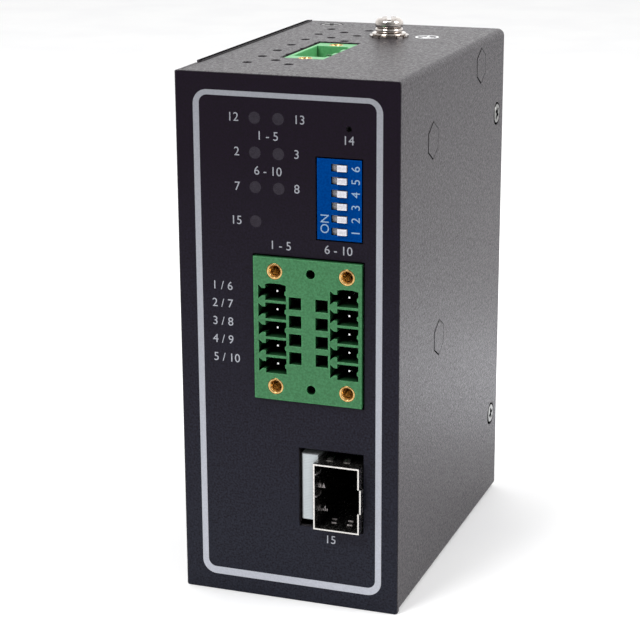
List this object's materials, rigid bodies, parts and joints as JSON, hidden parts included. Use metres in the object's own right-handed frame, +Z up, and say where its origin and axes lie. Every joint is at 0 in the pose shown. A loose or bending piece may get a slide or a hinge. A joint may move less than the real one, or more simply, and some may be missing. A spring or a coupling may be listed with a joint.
{
  "type": "serial device server",
  "caption": "Upright rail-mount network box with keyed serial plug sockets, a slide switch, a pluggable-module slot, a top power socket and a sprung rail latch.",
  "frame": {"origin": "middle of the case's underside", "axes": "+Z up, +X to the right seen from the front, +Y to the back, where the rail clip is"},
  "size_m": [0.047, 0.0848, 0.1143],
  "materials": {
    "case_paint": "fine textured powder coat, near black",
    "panel_film": "satin printed film",
    "header_green": "moulded, satin",
    "contact_tin": "tin plated",
    "insert_brass": "turned",
    "switch_blue": "moulded, satin gloss",
    "lever_white": "moulded",
    "dark_moulding": "moulded",
    "lamp_lens": "clear moulded, unlit",
    "cage_plate": "bright nickel plated sheet",
    "gasket_cloth": "conductive cloth over foam",
    "board_laminate": "solder mask",
    "plated_steel": "bright zinc plated",
    "clip_zinc": "zinc plated sheet",
    "spring_wire": "drawn wire",
    "can_aluminium": "drawn can",
    "ferrite_grey": "pressed ferrite"
  },
  "bodies": {
    "housing": {"chassis": "case_paint", "front_panel": "case_paint", "rear_cover": "case_paint", "front_label": "panel_film", "serial_header": "header_green", "serial_pins": "contact_tin", "serial_inserts": "insert_brass", "power_header": "header_green", "power_pins": "contact_tin", "power_inserts": "insert_brass", "switch_cover": "switch_blue", "switch_base": "dark_moulding", "reset_switch": "dark_moulding", "lamps": "lamp_lens", "network_cage": "cage_plate", "cage_gasket": "gasket_cloth", "network_connector": "dark_moulding", "main_board": "board_laminate", "standoffs": "case_paint", "board_screws": "plated_steel", "front_board": "board_laminate", "front_board_link": "dark_moulding", "power_board": "board_laminate", "board_spacers": "plated_steel", "spacer_screws": "plated_steel", "power_board_link": "dark_moulding", "processor": "dark_moulding", "memory_chip": "dark_moulding", "network_chip": "dark_moulding", "line_drivers": "dark_moulding", "crystal": "plated_steel", "transformer": "ferrite_grey", "inductor": "ferrite_grey", "capacitors": "can_aluminium", "ground_screw": "plated_steel", "flat_washer": "plated_steel", "spring_washer": "plated_steel", "ground_nut": "plated_steel", "side_screws": "plated_steel", "top_screw": "plated_steel", "tooth_washer": "plated_steel", "din_bracket": "clip_zinc", "din_spring": "spring_wire", "din_screws": "plated_steel", "din_nuts": "plated_steel"},
    "switch_lever_1": {"switch_lever_1": "lever_white"},
    "switch_lever_2": {"switch_lever_2": "lever_white"},
    "switch_lever_3": {"switch_lever_3": "lever_white"},
    "switch_lever_4": {"switch_lever_4": "lever_white"},
    "switch_lever_5": {"switch_lever_5": "lever_white"},
    "switch_lever_6": {"switch_lever_6": "lever_white"},
    "reset_plunger": {"reset_plunger": "dark_moulding"},
    "din_latch": {"din_latch": "clip_zinc"}
  },
  "joints": [
    {"name": "lever_slide_1", "type": "slide", "parent": "housing", "child": "switch_lever_1", "axis": [-1, 0, 0], "range_m": [0, 0.0012]},
    {"name": "lever_slide_2", "type": "slide", "parent": "housing", "child": "switch_lever_2", "axis": [-1, 0, 0], "range_m": [0, 0.0012]},
    {"name": "lever_slide_3", "type": "slide", "parent": "housing", "child": "switch_lever_3", "axis": [-1, 0, 0], "range_m": [0, 0.0012]},
    {"name": "lever_slide_4", "type": "slide", "parent": "housing", "child": "switch_lever_4", "axis": [-1, 0, 0], "range_m": [0, 0.0012]},
    {"name": "lever_slide_5", "type": "slide", "parent": "housing", "child": "switch_lever_5", "axis": [-1, 0, 0], "range_m": [0, 0.0012]},
    {"name": "lever_slide_6", "type": "slide", "parent": "housing", "child": "switch_lever_6", "axis": [-1, 0, 0], "range_m": [0, 0.0012]},
    {"name": "reset_press", "type": "slide", "parent": "housing", "child": "reset_plunger", "axis": [0, 1, 0], "range_m": [0, 0.0003], "stiffness_N_per_m": 4000, "springref_m": -0.0001},
    {"name": "latch_slide", "type": "slide", "parent": "housing", "child": "din_latch", "axis": [0, 0, -1], "range_m": [0, 0.0045], "stiffness_N_per_m": 2000, "springref_m": -0.003, "deforming": ["din_spring"]}
  ]
}
